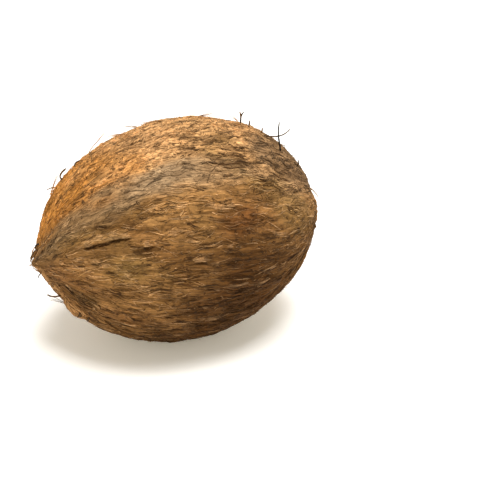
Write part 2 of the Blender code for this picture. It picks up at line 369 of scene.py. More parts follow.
def arc_table():
    """Distance over the plain egg shape from the tip to each ring."""
    shares = share_at_ring(np.arange(RINGS + 1))
    pieces = np.hypot(np.diff(shares) * LENGTH, np.diff(turned_radius(shares)))
    return np.concatenate([[0.0], np.cumsum(pieces)])


ARC_RINGS = np.arange(RINGS + 1)
ARC_LENGTHS = arc_table()
AXIS_LENGTHS = share_at_ring(ARC_RINGS) * LENGTH


def arc_at_share(share):
    """Distance over the surface from the tip, along the nut."""
    return np.interp(ring_at_share(share), ARC_RINGS, ARC_LENGTHS)


def share_at_arc(arc):
    return share_at_ring(np.interp(arc, ARC_LENGTHS, ARC_RINGS))


def drift(share, angle, seed, along, around, terms=24):
    """A smooth seeded unevenness over the nut, about -2 to 2, that closes on itself round the girth."""
    random = np.random.default_rng(seed)
    total = np.zeros(np.broadcast(share, angle).shape)
    for _ in range(terms):
        length_wave = random.uniform(-along, along)
        girth_wave = random.integers(-around, around + 1)
        phase = random.uniform(0.0, 2.0 * math.pi)
        total = total + np.cos(2.0 * math.pi * length_wave * share + girth_wave * angle + phase)
    return total / math.sqrt(terms / 2.0)


def smooth_step(value, low, high):
    part = np.clip((value - low) / (high - low), 0.0, 1.0)
    return part * part * (3.0 - 2.0 * part)


def patch(share, angle, spot, reach):
    """How near each place is to a spot, from 0 to 1. Spot is share and degrees, reach is metres."""
    along = (share - spot[0]) * LENGTH / reach[0]
    aside = turn_between(angle, math.radians(spot[1])) * turned_radius(share) / reach[1]
    return np.exp(-(along**2) - aside**2)


def strip(way, plain, degrees, width):
    """How near each place is to the strand that sets out at so many degrees, from 0 to 1."""
    return np.exp(-((turn_between(way, math.radians(degrees)) * plain / width) ** 2))


def seeded_strands(sizes, slant, seed):
    """Strands as (share, setting out angle, tilt, half length, half width, height), all over the nut."""
    random = np.random.default_rng(seed)
    strands = []
    for count, half_length, half_width, most in sizes:
        for _ in range(count):
            middle = random.uniform(0.0, 1.0)
            turn = random.uniform(0.0, 2.0 * math.pi)
            tilt = math.tan(random.normal(0.0, slant))
            size = random.uniform(*STRAND_SIZE_RANGE)
            tall = most * random.uniform(*STRAND_HEIGHT_RANGE)
            strands.append((middle, turn, tilt, half_length * size, half_width * size, tall))
    return strands


def raised(strands, measure=None):
    """Heights of low spindles on the coat's grid, each worked out only where it reaches."""
    measure = ARC_LENGTHS if measure is None else measure
    grid = np.zeros((RINGS + 1, SEGMENTS))
    shares = share_at_ring(ARC_RINGS)
    plains = turned_radius(shares)
    step = 2.0 * math.pi / SEGMENTS
    for share, turn, tilt, half_length, half_width, height in strands:
        middle = np.interp(ring_at_share(share), ARC_RINGS, measure)
        low, high = np.searchsorted(measure, (middle - half_length, middle + half_length))
        window = slice(max(low - 1, 1), min(high + 1, RINGS))
        forward = measure[window] - middle
        plain = np.maximum(plains[window], 0.003)
        spread = min((half_width + abs(tilt) * half_length) / plain.min(), math.pi / 2.0)
        edges = angle_on_strand(shares[window], turn - spread), angle_on_strand(shares[window], turn + spread)
        columns = np.arange(int(edges[0].min() / step) - 1, int(edges[1].max() / step) + 2)[:SEGMENTS]
        way = setting_out(shares[window][:, None], (columns * step)[None, :])
        sideways = turn_between(way, turn) * plain[:, None] - tilt * forward[:, None]
        slimness = np.clip(1.0 - (forward / half_length) ** 2, 0.0, 1.0)[:, None]
        crossing = np.clip(slimness - (sideways / half_width) ** 2, 0.0, 1.0)
        places = np.ix_(np.arange(window.start, window.stop), columns % SEGMENTS)
        grid[places] = np.maximum(grid[places], height * np.sqrt(crossing))
    return grid


def grid_places():
    """Share and angle at every point of the coat's grid."""
    share = share_at_ring(ARC_RINGS)[:, None]
    angle = (np.arange(SEGMENTS) * 2.0 * math.pi / SEGMENTS)[None, :]
    return np.broadcast_arrays(share, angle)


def regions(share, angle):
    """How far each place has each colour, from 0 to 1, with ragged edges between them. The dark value is partly
    painted shade, on the underside and the lower front.
    """
    plain = np.maximum(turned_radius(share), 0.004)
    way = setting_out(share, angle)
    ragged = drift(share, way, 5, 5.0, 14)
    fine_ragged = drift(share, way, 6, 9.0, 40, 40)
    middling = 0.35 + 0.65 * np.exp(-(((share - 0.40) / 0.18) ** 2))
    narrowing = 0.0086 - 0.0040 * smooth_step(share, 0.50, 0.72)
    middle = 0.0020 * smooth_step(share, 0.5, 0.8) - 0.0040 * smooth_step(0.36 - share, 0.0, 0.2)
    grey = np.zeros(plain.shape)
    for ridge, strength in zip(RIDGE_ANGLES, (1.0, 0.8, 0.3)):
        sideways = turn_between(way, ridge) * plain + 0.0011 * ragged + 0.0006 * fine_ragged
        band = 1.0 - smooth_step(np.abs(sideways - middle), 0.0016, narrowing)
        grey = np.maximum(grey, strength * middling * band)
    blunt_grey = smooth_step(share + 0.03 * ragged, 0.74, 0.90) * smooth_step(np.sin(angle), 0.35, 0.80)
    grey = np.maximum(grey, 0.70 * blunt_grey)
    below_tip = smooth_step(0.07 - share, 0.0, 0.05) * smooth_step(np.cos(way + math.radians(40.0)), -0.1, 0.5)
    grey = grey * (1.0 - 0.7 * below_tip)
    top =np.cos(turn_between(way, math.radians(118.0)))
    bright = smooth_step(top + 0.08 * ragged + 0.05 * fine_ragged, 0.46, 0.68)
    back = np.cos(turn_between(way, math.radians(220.0)))
    bright = np.maximum(bright, 0.45 * smooth_step(back + 0.15 * ragged, 0.2, 0.8))
    golden = strip(way, plain, 312.0, 0.0044) * smooth_step(0.110 - share, 0.0, 0.03)
    bright = np.maximum(bright, golden)
    low_front = np.cos(turn_between(way, math.radians(-30.0)))
    inward = share + 0.04 * ragged - 0.19 * turn_between(way, math.radians(10.0))
    # Painted shade: darker on the lower front towards the blunt end, a little less at the blunt end itself
    dark = 0.88 * smooth_step(inward, 0.15, 0.60) * smooth_step(low_front, 0.05, 0.65)
    dark = dark * (1.0 - 0.35 * smooth_step(share, 0.66, 0.85))
    dark = np.maximum(dark, 0.35 * smooth_step(drift(share, way, 8, 3.0, 6), 1.1, 2.2) * (1.0 - bright))
    # Painted shade: darker on the underside
    dark = np.maximum(dark, 0.42 * smooth_step(0.06 * ragged - np.sin(angle), -0.10, 0.70))
    dark = np.maximum(dark, 0.20 * smooth_step(0.020 - share, 0.0, 0.020))
    dark = np.maximum(dark, 0.50 * blunt_grey)
    dusky = strip(way, plain, 64.0, 0.0045) * smooth_step(share + 0.02 * ragged, 0.50, 0.66)
    dark = np.maximum(dark, 0.25 * dusky)
    # Painted shade in a hollow on the front near the tip, which also takes an olive tint
    shaded_hollow = strip(way, plain, 347.0, 0.0032) * smooth_step(share, 0.03, 0.05)
    shaded_hollow = shaded_hollow * smooth_step(0.14 - share, 0.0, 0.03)
    near_tip = strip(way, plain, 50.0, 0.0065) * smooth_step(0.36 - share, 0.0, 0.16)
    dark = np.maximum(dark, 0.22 * near_tip)
    dark = np.maximum(dark, 0.50 * shaded_hollow) * (1.0 - 0.8 * golden)
    red = 0.25 * smooth_step(drift(share, way, 9, 3.0, 7), 0.6, 1.8)
    reddish = patch(share, angle, (0.64, 24.0), (0.012, 0.0080))
    red = np.maximum(red, 0.80 * np.clip(reddish + 0.20 * fine_ragged * reddish, 0.0, 1.0))
    red = np.maximum(red, 0.45 * patch(share, angle, (0.03, 355.0), (0.014, 0.0120)))
    red = np.maximum(red, 0.40 * patch(share, angle, (0.20, 335.0), (0.014, 0.0060)))
    red = red * (1.0 - golden)
    olive = 0.40 * smooth_step(drift(share, way, 10, 3.5, 8), 0.4, 1.6)
    olive = np.maximum(olive, 0.6 * patch(share, angle, (0.23, 12.8), (0.009, 0.0070)))
    olive = np.maximum(olive, 0.7 * shaded_hollow)
    olive = np.maximum(olive, 0.6 * near_tip)
    return {
        "grey": grey,
        "bright": bright * (1.0 - 0.6 * dark),
        "orange": bright * smooth_step(0.36 - share + 0.05 * ragged, 0.0, 0.20) * (1.0 - golden),
        "dark": dark,
        "red": red,
        "olive": olive * (1.0 - 0.7 * bright),
    }


def flake_strands():
    """The torn flakes: those listed one by one, and seeded ones all over the nut."""
    placed = [(share, math.radians(degrees), *rest) for share, degrees, *rest in PLACED_FLAKES]
    return placed + seeded_strands(FLAKE_SIZES, FLAKE_SLANT, FLAKE_SEED)


def grooves_under(flakes):
    """A groove along each flake's lower side, where its shadow falls."""
    grooves = []
    for share, turn, tilt, half_length, half_width, height in flakes:
        lower = -1.0 if math.cos(turn) > 0.0 else 1.0
        shift = lower * 1.5 * half_width / max(float(turned_radius(share)), 0.01)
        depth = GROOVE_DEPTH_SHARE * height
        grooves.append((share, turn + shift, tilt, 0.7 * half_length, 0.6 * half_width, depth))
    return grooves


FLAKES = flake_strands()


def coat_relief():
    """Heights of the coat above the body at every point of its grid."""
    share, angle = grid_places()
    region = regions(share, angle)
    grey, bright = region["grey"], region["bright"]
    coarse = raised(seeded_strands(STRAND_SIZES, STRAND_SLANT, STRAND_SEED), AXIS_LENGTHS)
    fine = raised(seeded_strands(FINE_SIZES, FINE_SLANT, STRAND_SEED + 1))
    pits = raised(seeded_strands(PIT_SIZES, PIT_SLANT, STRAND_SEED + 2))
    stubs = raised(seeded_strands(STUB_SIZES, STUB_SLANT, STRAND_SEED + 3))
    calm = 1.0 - 0.65 * grey
    swell = 0.00012 * drift(share, angle, 3, 14.0, 34, 60)
    fine = fine * (1.0 - 0.55 * bright) + stubs * (0.15 + 0.75 * bright)
    relief = COARSE_SHARE * coarse * calm * (1.0 - 0.35 * bright) + fine * calm + swell
    relief = np.maximum(relief, 0.4 * relief + raised(FLAKES))
    relief = relief - raised(grooves_under(FLAKES))
    return relief - pits * (0.20 + 0.50 * bright) * (1.0 - grey)


COAT = coat_relief()


def coat_height(share, angle):
    """The coat's height at any place, read between its grid points."""
    ring = np.clip(ring_at_share(share), 0.0, RINGS - 1e-6)
    column = (angle / (2.0 * math.pi) * SEGMENTS) % SEGMENTS
    low_ring = ring.astype(int)
    low_column = column.astype(int) % SEGMENTS
    next_column = (low_column + 1) % SEGMENTS
    ring_part = ring - low_ring
    column_part = column - np.floor(column)
    near_side = COAT[low_ring, low_column] * (1.0 - column_part)
    near_side = near_side + COAT[low_ring, next_column] * column_part
    far_side = COAT[low_ring + 1, low_column] * (1.0 - column_part)
    far_side = far_side + COAT[low_ring + 1, next_column] * column_part
    return near_side * (1.0 - ring_part) + far_side * ring_part


def above_floor(points, gap=0.0):
    """Keeps points from going under the surface that the nut lies on."""
    points[..., 2] = np.maximum(points[..., 2], gap)
    return points


def new_piece(name, points, faces, corner_uv, attributes, material):
    """A smooth mesh that rides on the nut, with its values and the map it is coloured through."""
    mesh = bpy.data.meshes.new(name)
    mesh.from_pydata(points.tolist(), [], faces)
    mesh.uv_layers.new(name="OFBake")
    mesh.uv_layers["OFBake"].uv.foreach_set("vector", corner_uv.astype(np.float32).ravel())
    for key, values in attributes.items():
        kind = "FLOAT" if values.ndim == 1 else "FLOAT_VECTOR"
        layer = mesh.attributes.new(key, kind, "POINT")
        word = "value" if values.ndim == 1 else "vector"
        layer.data.foreach_set(word, values.astype(np.float32).ravel())
    mesh.materials.append(material)
    mesh.shade_smooth()
    piece = bpy.data.objects.new(name, mesh)
    bpy.context.scene.collection.objects.link(piece)
    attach(piece, "root")
    return piece


def place_values(share, angle):
    """The values that a material reads at each place of a piece. The grain runs along the strands, in mm."""
    way = setting_out(share, angle)
    values = regions(share, angle)
    grain = [GIRTH_RADIUS * np.cos(way), GIRTH_RADIUS * np.sin(way), arc_at_share(share)]
    values["grain"] = np.stack(grain, axis=-1) * 1000.0
    return values


def coat_piece(material):
    """The nut's closed skin: two end points and the rings between them."""
    share, angle = grid_places()
    here, outward, _ = surface_frame(share, angle)
    grid = above_floor(here + outward * (COAT - COAT_DEPTH)[..., None])
    points = [grid[0].mean(axis=0)]
    points.extend(grid[1:RINGS].reshape(-1, 3))
    points.append(grid[RINGS].mean(axis=0))
    points = np.array(points)
    middle = slice(1, RINGS)
    inner_share = np.concatenate([[0.0], share[middle].ravel(), [1.0]])
    inner_angle = np.concatenate([[0.0], angle[middle].ravel(), [0.0]])
    faces = []
    corners = []
    last = len(points) - 1
    for column in range(SEGMENTS):
        beside = (column + 1) % SEGMENTS
        faces.append((0, 1 + beside, 1 + column))
        left, right = column / SEGMENTS, (column + 1) / SEGMENTS
        corners.extend([((left + right) / 2.0, 0.0), (right, 1 / RINGS), (left, 1 / RINGS)])
    for ring in range(1, RINGS - 1):
        start = 1 + (ring - 1) * SEGMENTS
        low, high = ring / RINGS, (ring + 1) / RINGS
        for column in range(SEGMENTS):
            beside = (column + 1) % SEGMENTS
            near, far = start + column, start + beside
            faces.append((near, far, far + SEGMENTS, near + SEGMENTS))
            left, right = column / SEGMENTS, (column + 1) / SEGMENTS
            corners.extend([(left, low), (right, low), (right, high), (left, high)])
    start = 1 + (RINGS - 2) * SEGMENTS
    for column in range(SEGMENTS):
        beside = (column + 1) % SEGMENTS
        faces.append((last, start + column, start + beside))
        left, right = column / SEGMENTS, (column + 1) / SEGMENTS
        low = 1.0 - 1.0 / RINGS
        corners.extend([((left + right) / 2.0, 1.0), (left, low), (right, low)])
    values = place_values(inner_share, inner_angle)
    values["height"] = np.concatenate([[0.0], COAT[middle].ravel(), [0.0]]) * 1000.0
    return new_piece("coir_coat", points, faces, np.array(corners), values, material)


def tube_pattern(rings, sides):
    """The faces of one fibre, and the spot of each face's corners on its part of the map."""
    last = rings * sides + 1
    faces = []
    spots = []
    for side in range(sides):
        beside = (side + 1) % sides
        low, high = side / sides, (side + 1) / sides
        faces.append((0, 1 + beside, 1 + side))
        spots.extend([(0.0, (low + high) / 2.0), (1 / (rings + 1), high), (1 / (rings + 1), low)])
        for ring in range(rings - 1):
            near, far = 1 + ring * sides + side, 1 + ring * sides + beside
            faces.append((near, far, far + sides, near + sides))
            left, right = (ring + 1) / (rings + 1), (ring + 2) / (rings + 1)
            spots.extend([(left, low), (left, high), (right, high), (right, low)])
        start = 1 + (rings - 1) * sides
        left = rings / (rings + 1)
        faces.append((start + side, start + beside, last))
        spots.extend([(left, low), (left, high), (1.0, (low + high) / 2.0)])
    return faces, spots


def fibre_piece(name, paths, radii, outward, flatness, values, material, sides=3):
    """Fibres with pointed ends, as one mesh. The first and last points of a path are its ends."""
    count, steps, _ = paths.shape
    rings = steps - 2
    ahead = unit(np.gradient(paths, axis=1))[:, 1:-1]
    across = unit(np.cross(ahead, outward[:, 1:-1]))
    up = np.cross(across, ahead) * flatness
    turns = 2.0 * math.pi * np.arange(sides) / sides
    ring = across[:, :, None] * np.cos(turns)[:, None] + up[:, :, None] * np.sin(turns)[:, None]
    ring = paths[:, 1:-1, None] + ring * radii[:, 1:-1, None, None]
    points = np.concatenate([paths[:, :1], ring.reshape(count, -1, 3), paths[:, -1:]], axis=1)
    points = above_floor(points.reshape(-1, 3), 0.0001)
    each = rings * sides + 2
    faces, spots = tube_pattern(rings, sides)
    starts = np.arange(count) * each
    all_faces = [tuple(start + corner for corner in face) for start in starts for face in faces]
    columns = math.ceil(math.sqrt(count))
    cells = np.stack([np.arange(count) % columns, np.arange(count) // columns], axis=-1)
    corner_uv = (cells[:, None] + 0.04 + 0.92 * np.array(spots)[None]) / columns
    whole_values = {}
    for key, value in values.items():
        inner = np.repeat(value[:, 1:-1], sides, axis=1)
        whole = np.concatenate([value[:, :1], inner, value[:, -1:]], axis=1)
        whole_values[key] = whole.reshape(count * each, *value.shape[2:])
    return new_piece(name, points, all_faces, corner_uv.reshape(-1, 2), whole_values, material)


def fibre_values(shares, angles, tones):
    """Values for a fibre's material. Each has one tone, calmer in the grey bands and lower where it's dark, which is
    partly painted shade.
    """
    values = place_values(shares, angles)
    calm = 0.5 + (tones[:, None] - 0.5) * (1.0 - 0.45 * values["grey"] - 0.40 * values["bright"])
    values["tone"] = calm - 0.20 * values["dark"]
    values["height"] = coat_height(shares, angles) * 1000.0
    return values


def spread_places(random, count):
    """Places scattered evenly over the nut's surface."""
    arcs = np.linspace(0.0, ARC_LENGTHS[-1], 400)
    weights = turned_radius(share_at_arc(arcs))
    total = np.cumsum(weights) / weights.sum()
    share = share_at_arc(np.interp(random.uniform(0.0, 1.0, count), total, arcs))
    return share, random.uniform(0.0, 2.0 * math.pi, count)


def wanted_places(random, count, wanted):
    """Scattered places, kept where a wish from 0 to 1 allows. The wish is worked out from the regions."""
    share, angle = spread_places(random, 4 * count)
    chosen = np.flatnonzero(random.uniform(0.0, 1.0, 4 * count) < wanted(regions(share, angle)))
    return share[chosen[:count]], angle[chosen[:count]]


def lock_draws(random, share, angle, layer):
    """Draws for the fibres of each lock, which lie close together and share a direction and a tone."""
    count, each = len(share), layer["each"]
    length = random.uniform(*layer["lengths"], count) * random.choice([-1.0, 1.0], count)
    slant = random.normal(0.0, math.radians(layer["slant"]), count)
    slope = np.tan(np.clip(slant, -1.0, 1.0))
    bend = random.normal(0.0, 0.08, count) * np.abs(length)
    tone = random.uniform(0.25, 1.0, count)
    tone = np.where(random.uniform(0.0, 1.0, count) < DARK_LOCKS, 0.2 - 1.2 * tone, tone)
    shared = (share, angle, length, slope, bend, tone)
    share, angle, length, slope, bend, tone = (np.repeat(values, each) for values in shared)
    total = count * each
    angle = angle + random.normal(0.0, 1.0, total) * layer["spread"] / np.maximum(turned_radius(share), 0.004)
    arc = arc_at_share(share) + random.normal(0.0, 0.15, total) * np.abs(length) * (each > 1)
    length = length * random.uniform(0.6, 1.0, total)
    slope = slope + random.normal(0.0, 0.05, total)
    tone = np.clip(tone + random.normal(0.0, 0.12, total), -1.0, 1.0)
    return share_at_arc(np.clip(arc, 0.0, ARC_LENGTHS[-1])), angle, length, slope, bend, tone


def follow(share, angle, lengths, slopes, bends, steps):
    """Places along wavy fibres that start at share and angle and sweep along the nut, a row for each."""
    run = np.linspace(0.0, 1.0, steps)[None, :]
    reach = lengths[:, None] * run
    arcs = np.clip(arc_at_share(share)[:, None] + reach, 0.0004, ARC_LENGTHS[-1] - 0.0004)
    shares = share_at_arc(arcs)
    plain = np.maximum(turned_radius(shares), 0.004)
    start = setting_out(share, angle)[:, None]
    turns = 2.0 * math.pi * arcs / WAVE_LENGTH
    wave = np.sin(turns + 9.0 * start) + 0.6 * np.sin(1.7 * turns - 14.0 * start)
    aside = slopes[:, None] * reach + bends[:, None] * run**2 + WAVE_HEIGHT * wave
    return shares, angle_on_strand(shares, start + aside / plain)


def tapered(radius, steps, root=0.75):
    """A fibre's radius along it: nearly even, and thinner towards its ends."""
    run = np.linspace(0.0, 1.0, steps)[None, :]
    return radius[:, None] * (root + (1.0 - root) * np.sin(math.pi * run) - 0.35 * run**3)


def laid_fibres(name, random, draws, radii, rise, flatness, material):
    """Fibres laid on the coat, bridging its small hollows. Rise is how far each step stands off it."""
    share, angle, length, slope, bend, tone = draws
    steps = rise.shape[1]
    shares, angles = follow(share, angle, length, slope, bend, steps)
    height = coat_height(shares, angles)
    for _ in range(2):
        padded = np.pad(height, ((0, 0), (1, 1)), mode="edge")
        height = 0.25 * padded[:, :-2] + 0.5 * padded[:, 1:-1] + 0.25 * padded[:, 2:]
    here, outward, _ = surface_frame(shares, angles)
    paths = here + outward * (height + rise - COAT_DEPTH)[..., None]
    thickness = tapered(random.uniform(*radii, len(share)), steps)
    values = fibre_values(shares, angles, tone)
    return fibre_piece(name, paths, thickness, outward, flatness, values, material)


def arched_rise(random, lifts, count, steps):
    """Rise of a fibre that lies down at both ends."""
    run = np.linspace(0.0, 1.0, steps)[None, :]
    lift = random.uniform(*lifts, count)[:, None] * np.sin(math.pi * run)
    return lift - 0.0003 * np.abs(2.0 * run - 1.0) ** 6


def springing_rise(random, lifts, count, steps):
    """Rise of a torn fibre, whose one end stands off the coat."""
    run = np.linspace(0.0, 1.0, steps)[None, :]
    return random.uniform(*lifts, count)[:, None] * run**2 - 0.0004 * (1.0 - run) ** 4


def combed_fibres(material):
    """Locks of fibres combed along the nut, and single long ones over them."""
    random = np.random.default_rng(LOCKS["seed"])
    places = wanted_places(
        random, LOCKS["locks"], lambda region: (1.0 - 0.55 * region["bright"]) * (1.0 - 0.5 * region["grey"])
    )
    draws = lock_draws(random, *places, LOCKS)
    rise = arched_rise(random, LOCK_LIFTS, len(draws[0]), 8)
    laid_fibres("coir_locks", random, draws, LOCK_RADII, rise, 0.8, material)
    random = np.random.default_rng(SINGLES["seed"])
    draws = lock_draws(random, *spread_places(random, SINGLES["locks"]), SINGLES)
    rise = arched_rise(random, SINGLE_LIFTS, len(draws[0]), 8)
    laid_fibres("coir_fibres", random, draws, SINGLE_RADII, rise, 0.8, material)


def chopped_fibres(material):
    """Short torn fibres in clumps, thickest on the bright side."""
    layers = (("coir_chopped", CHOPPED, CHOPPED_RADII, CHOPPED_LIFTS), ("coir_stubs", STUBS, STUB_RADII, STUB_LIFTS))
    for name, layer, radii, lifts in layers:
        random = np.random.default_rng(layer["seed"])
        places = wanted_places(
            random, layer["locks"], lambda region: (0.30 + 0.70 * region["bright"]) * (1.0 - 0.7 * region["grey"])
        )
        draws = lock_draws(random, *places, layer)
        rise = springing_rise(random, lifts, len(draws[0]), 6)
        laid_fibres(name, random, draws, radii, rise, 0.6, material)


def dark_threads(material):
    """Thin dark threads that follow the ridge near the blunt end, like cracks in its smooth coat."""
    random = np.random.default_rng(DARK_THREADS["seed"])
    count = DARK_THREADS["locks"]
    share = random.uniform(*DARK_THREAD_SHARES, count)
    way = np.radians(random.normal(*DARK_THREAD_WAY, count))
    share, angle, length, slope, bend, tone = lock_draws(
        random, share, angle_on_strand(share, way), DARK_THREADS
    )
    draws = (share, angle, length, slope, bend, np.minimum(tone - 1.4, -0.5))
    rise = arched_rise(random, DARK_THREAD_LIFTS, count, 8)
    laid_fibres("dark_threads", random, draws, DARK_THREAD_RADII, rise, 0.7, material)


def crack_shade(material):
    """Dark tubes that paint the shade in the cracks and holes between the fibres, one by one."""
    run = np.linspace(0.0, 1.0, CRACK_STEPS)
    shares = []
    ways = []
    for _, places in CRACKS:
        stops = np.linspace(0.0, 1.0, len(places))
        share, degrees = np.array(places).T
        shares.append(np.interp(run, stops, share))
        ways.append(np.radians(np.interp(run, stops, degrees)))
    shares = np.array(shares)
    angles = angle_on_strand(shares, np.array(ways))
    here, outward, _ = surface_frame(shares, angles)
    rise = CRACK_LIFT * (1.0 - np.abs(2.0 * run - 1.0) ** 6)
    paths = here + outward * (coat_height(shares, angles) + rise - COAT_DEPTH)[..., None]
    radii =np.array([radius for radius, _ in CRACKS]) / 1000.0
    values = fibre_values(shares, angles, np.full(len(CRACKS), -1.0))
    fibre_piece("crack_shade", paths, tapered(radii, CRACK_STEPS, 0.5), outward, 0.5, values, material, 5)


def flake_fibres(material):
    """Pale fibres along each torn flake."""
    random = np.random.default_rng(FLAKE_SEED + 1)
    each = [PLACED_FLAKE_FIBRES] * len(PLACED_FLAKES) + [FLAKE_FIBRES] * (len(FLAKES) - len(PLACED_FLAKES))
    share, way, tilt, half_length, half_width, _ = (np.repeat(values, each) for values in zip(*FLAKES))
    count = len(share)
    across = random.uniform(-0.8, 0.8, count)
    way = way + across * half_width / np.maximum(turned_radius(share), 0.004)
    length = half_length * random.uniform(0.8, 1.7, count)
    arc = arc_at_share(share) - length * random.uniform(0.4, 0.7, count)
    start = share_at_arc(np.clip(arc, 0.0, ARC_LENGTHS[-1]))
    slope = tilt + random.normal(0.0, 0.06, count)
    bend = random.normal(0.0, 0.08, count) * length
    tone = random.uniform(0.70, 1.0, count)
    rise = springing_rise(random, (0.0002, 0.0009), count, 7)
    draws = (start, angle_on_strand(start, way), length, slope, bend, tone)
    laid_fibres("coir_flakes", random, draws, (0.00014, 0.00030), rise, 0.7, material)


def loose_draws():
    """The places of the solid's loose strands and of its tuft: share, angle, length, lift and sway."""
    random = np.random.default_rng(LOOSE_SEED)
    golden = math.pi * (3.0 - math.sqrt(5.0))
    first, last = LOOSE_SHARES
    draws = []
    for number in range(LOOSE_COUNT):
        share = first + (last - first) * (number + 0.5) / LOOSE_COUNT
        angle = number * golden + random.uniform(-LOOSE_SCATTER, LOOSE_SCATTER)
        length = random.uniform(*LOOSE_LENGTHS) * random.choice([-1.0, 1.0])
        lift = random.uniform(*LOOSE_LIFTS)
        sway = random.uniform(-LOOSE_SWAY, LOOSE_SWAY)
        draws.append((share, angle, length, lift, sway))
    random = np.random.default_rng(LOOSE_SEED + 1)
    for number in range(TUFT_COUNT):
        share = random.uniform(*TUFT_SHARES)
        angle = 2.0 * math.pi * number / TUFT_COUNT
        angle = angle + random.uniform(-TUFT_SCATTER, TUFT_SCATTER)
        length = -random.uniform(*TUFT_LENGTHS)
        lift = random.uniform(*TUFT_LIFTS)
        draws.append((share, angle, length, lift, 0.0))
    return np.array(draws)


def loose_paths(share, angle, length, lift, sway):
    """Paths that follow the nut's curve, with a free end that lifts and sways."""
    here, outward, along = surface_frame(share, angle)
    aside = np.cross(outward, along)
    run = np.linspace(0.0, 1.0, WISP_STEPS)[None, :]
    fall = (length[:, None] * run) ** 2 / (2.0 * GIRTH_RADIUS)
    rise = ROOT_DEPTH * np.minimum(run / ROOT_SHARE - 1.0, 0.0) + lift[:, None] * run**LOOSE_BEND_POWER
    paths = here[:, None] + along[:, None] * (length[:, None] * run)[..., None]
    paths = paths + aside[:, None] * (sway[:, None] * run**2)[..., None]
    paths = paths + outward[:, None] * (rise - fall)[..., None]
    return paths, np.broadcast_to(outward[:, None], paths.shape)


def loose_wisps(material):
    """Each of the solid's loose strands, as a wisp of a few hairs that splay a little."""
    random = np.random.default_rng(LOOSE_SEED + 2)
    draws = loose_draws()
    paths, _ = loose_paths(*draws.T)
    clear = (paths[..., 2].min(axis=1) > FLOOR_CLEARANCE) | (np.arange(len(draws)) >= LOOSE_COUNT)
    share, angle, length, lift, sway = np.repeat(draws[clear], WISP_HAIRS, axis=0).T
    count = len(share)
    angle = angle + random.normal(0.0, 0.00035, count) / np.maximum(turned_radius(share), 0.01)
    length = length * random.uniform(0.7, 1.0, count)
    lift = lift * random.uniform(0.8, 1.1, count)
    sway = sway + random.normal(0.0, 0.0009, count)
    paths, outward = loose_paths(share, angle, length, lift, sway)
    thickness = tapered(random.uniform(*WISP_RADII, count), WISP_STEPS, 0.9)
    shares = np.broadcast_to(share[:, None], paths.shape[:2])
    angles = np.broadcast_to(angle[:, None], paths.shape[:2])
    values = fibre_values(shares, angles, random.uniform(0.0, 0.8, count))
    fibre_piece("loose_wisps", paths, thickness, outward, 1.0, values, material)


def curve_through(points, steps):
    """A smooth curve that starts at the first point, heads for the next ones and ends at the last."""
    run = np.linspace(0.0, 1.0, steps)[:, None]
    degree = len(points) - 1
    total = np.zeros((steps, 3))
    for order, point in enumerate(points):
        weight = math.comb(degree, order) * run**order * (1.0 - run) ** (degree - order)
        total = total + weight * np.array(point)
    return total


def stray_hairs(material):
    """The few long hairs that stand out from the nut, one by one."""
    paths = []
    thickness = []
    for share, degrees, radius, way in STRAY_HAIRS:
        start, outward, _ = surface_frame(np.array(share), np.array(math.radians(degrees)))
        points = [-0.0006 * outward] + [np.array(point) / 1000.0 for point in way]
        paths.append(start + curve_through(points, STRAY_STEPS))
        thickness.append(radius)
    paths = np.array(paths)
    thickness = tapered(np.array(thickness), STRAY_STEPS, 0.95)
    facing = np.broadcast_to(np.array((0.3, 0.9, 0.3)), paths.shape)
    hair_piece("stray_hairs", paths, thickness, facing, material)


def fuzz(material):
    """Short fine hairs all over, which show along the outline."""
    random = np.random.default_rng(FUZZ_SEED)
    share, angle = spread_places(random, FUZZ_COUNT)
    here, outward, along = surface_frame(share, angle)
    here = here + outward * (coat_height(share, angle) - COAT_DEPTH - 0.0003)[:, None]
    aside = np.cross(outward, along)
    length = random.uniform(*FUZZ_LENGTHS, FUZZ_COUNT)[:, None, None]
    rise = random.uniform(0.1, 0.7, FUZZ_COUNT)[:, None, None]
    forward = random.choice([-1.0, 1.0], FUZZ_COUNT)[:, None, None]
    turn = random.normal(0.0, 0.4, FUZZ_COUNT)[:, None, None]
    curl = random.normal(0.0, 0.5, FUZZ_COUNT)[:, None, None]
    run = np.linspace(0.0, 1.0, 6)[None, :, None]
    way = along[:, None] * forward * run + aside[:, None] * (turn * run + curl * run**2)
    way = way + outward[:, None] * (rise * run + 0.3 * curl * run**2)
    paths = here[:, None] + way * length
    thickness = tapered(random.uniform(*FUZZ_RADII, FUZZ_COUNT), 6, 0.9)
    hair_piece("coir_fuzz", paths, thickness, np.broadcast_to(outward[:, None], paths.shape), material)


def hair_piece(name, paths, thickness, facing, material):
    """Hairs that carry only a tone and their own length, for the hair material."""
    count, steps, _ = paths.shape
    tone = np.broadcast_to(np.linspace(0.0, 1.0, count)[:, None] * 7.31 % 1.0, (count, steps))
    values = {"tone": tone, "grain": paths * 1000.0}
    fibre_piece(name, paths, thickness, facing, 1.0, values, material)


def give(tree, socket, value):
    """Gives a socket a number, a colour or another node's output."""
    if isinstance(value, bpy.types.NodeSocket):
        tree.links.new(value, socket)
    else:
        socket.default_value = value


def mixed(tree, factor, first, second):
    """A mix of two colours."""
    node = tree.nodes.new("ShaderNodeMix")
    node.data_type = "RGBA"
    give(tree, node.inputs[0], factor)
    for socket, value in zip((node.inputs[6], node.inputs[7]), (first, second)):
        give(tree, socket, (*value, 1.0) if isinstance(value, tuple) else value)
    return node.outputs[2]


def named(tree, key, output="Fac"):
    """A value that the mesh carries."""
    node = tree.nodes.new("ShaderNodeAttribute")
    node.attribute_name = key
    return node.outputs[output]


